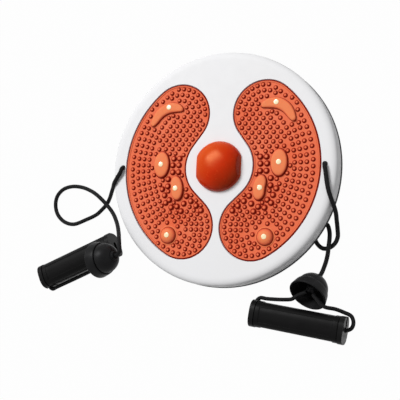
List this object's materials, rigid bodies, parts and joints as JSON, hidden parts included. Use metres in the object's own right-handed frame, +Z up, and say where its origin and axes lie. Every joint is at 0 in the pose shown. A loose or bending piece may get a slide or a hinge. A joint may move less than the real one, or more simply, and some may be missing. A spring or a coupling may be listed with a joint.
{
  "type": "waist twisting disc",
  "caption": "Round turning foot plate with two massage foot pads, magnets, a centre dome and elastic pull cords that end in bell covers and bar grips.",
  "frame": {"origin": "on the turning axis at the floor, under the middle of the centre foot", "axes": "+Z up along the turning axis, +Y towards the toe end of the pads, +X towards the right pad"},
  "size_m": [0.4033, 0.3365, 0.0707],
  "materials": {
    "white_shell": "semi-gloss white moulding",
    "orange_pad": "soft satin orange",
    "cream_magnet": "cream coated disc",
    "red_dome": "clear red gloss",
    "black_base": "fine grained black",
    "black_rubber": "matt black",
    "black_cord": "woven sleeve over elastic",
    "black_grip": "satin black moulding",
    "steel": "plated",
    "ball_steel": "polished",
    "cage_nylon": "natural nylon"
  },
  "bodies": {
    "base": {"base_plate": "black_base", "foot_1": "black_rubber", "foot_2": "black_rubber", "foot_3": "black_rubber", "foot_4": "black_rubber", "foot_5": "black_rubber", "foot_6": "black_rubber", "centre_foot": "black_rubber", "pivot_bolt": "steel", "upper_washer": "steel", "lower_washer": "steel", "lock_nut": "steel"},
    "cage": {"ball_cage": "cage_nylon", "race_ball_1": "ball_steel", "race_ball_2": "ball_steel", "race_ball_3": "ball_steel", "race_ball_4": "ball_steel", "race_ball_5": "ball_steel", "race_ball_6": "ball_steel", "race_ball_7": "ball_steel", "race_ball_8": "ball_steel", "race_ball_9": "ball_steel", "race_ball_10": "ball_steel", "race_ball_11": "ball_steel", "race_ball_12": "ball_steel"},
    "turntable": {"top_plate": "white_shell", "pad_left": "orange_pad", "pad_right": "orange_pad", "magnet_left_toe": "cream_magnet", "magnet_left_middle": "cream_magnet", "magnet_left_instep": "cream_magnet", "magnet_left_heel": "cream_magnet", "magnet_right_toe": "cream_magnet", "magnet_right_middle": "cream_magnet", "magnet_right_instep": "cream_magnet", "magnet_right_heel": "cream_magnet", "centre_dome": "red_dome", "cord_left": "black_cord", "cord_stop_left": "black_cord", "cover_knot_left": "black_cord", "strap_left": "black_cord", "cover_cap_left": "black_grip", "cover_base_left": "black_grip", "grip_left": "black_grip", "grip_collar_left_a": "black_grip", "grip_collar_left_b": "black_grip", "cord_right": "black_cord", "cord_stop_right": "black_cord", "cover_knot_right": "black_cord", "strap_right": "black_cord", "cover_cap_right": "black_grip", "cover_base_right": "black_grip", "grip_right": "black_grip", "grip_collar_right_a": "black_grip", "grip_collar_right_b": "black_grip"}
  },
  "joints": [
    {"name": "plate_turn", "type": "hinge", "parent": "base", "child": "turntable", "pos_m": [0, 0, 0.019], "axis": [0, 0, 1], "continuous": true},
    {"name": "cage_turn", "type": "hinge", "parent": "base", "child": "cage", "pos_m": [0, 0, 0.019], "axis": [0, 0, 1], "continuous": true}
  ],
  "couplings": [
    {"joint": "cage_turn", "follows": "plate_turn", "ratio": 0.5}
  ]
}
